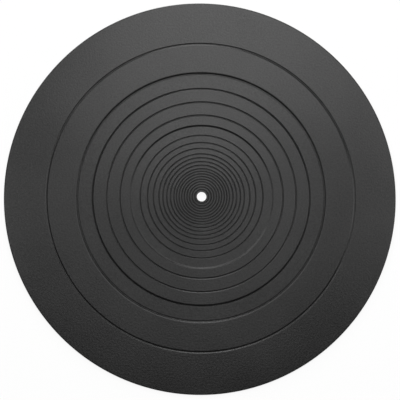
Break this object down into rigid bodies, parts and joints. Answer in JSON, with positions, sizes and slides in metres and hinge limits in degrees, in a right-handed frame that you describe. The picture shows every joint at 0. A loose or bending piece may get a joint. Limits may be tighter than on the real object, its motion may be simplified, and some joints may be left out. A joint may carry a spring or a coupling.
{
  "type": "turntable platter mat",
  "caption": "Round black rubber mat for a record player's platter, with a spindle hole, a label recess, a shallow channel and narrow concentric grooves on its top face.",
  "frame": {"origin": "on the mat's axis, in the plane of its underside", "axes": "+Z along the axis, from the underside towards the grooved face that carries the record; +X and +Y are any two directions in the plane of the mat, as it is the same all round"},
  "size_m": [0.3, 0.3, 0.004],
  "materials": {
    "black_rubber": "satin black rubber with fine turned lines from the mould"
  },
  "bodies": {
    "root": {"platter_mat": "black_rubber"}
  },
  "joints": []
}
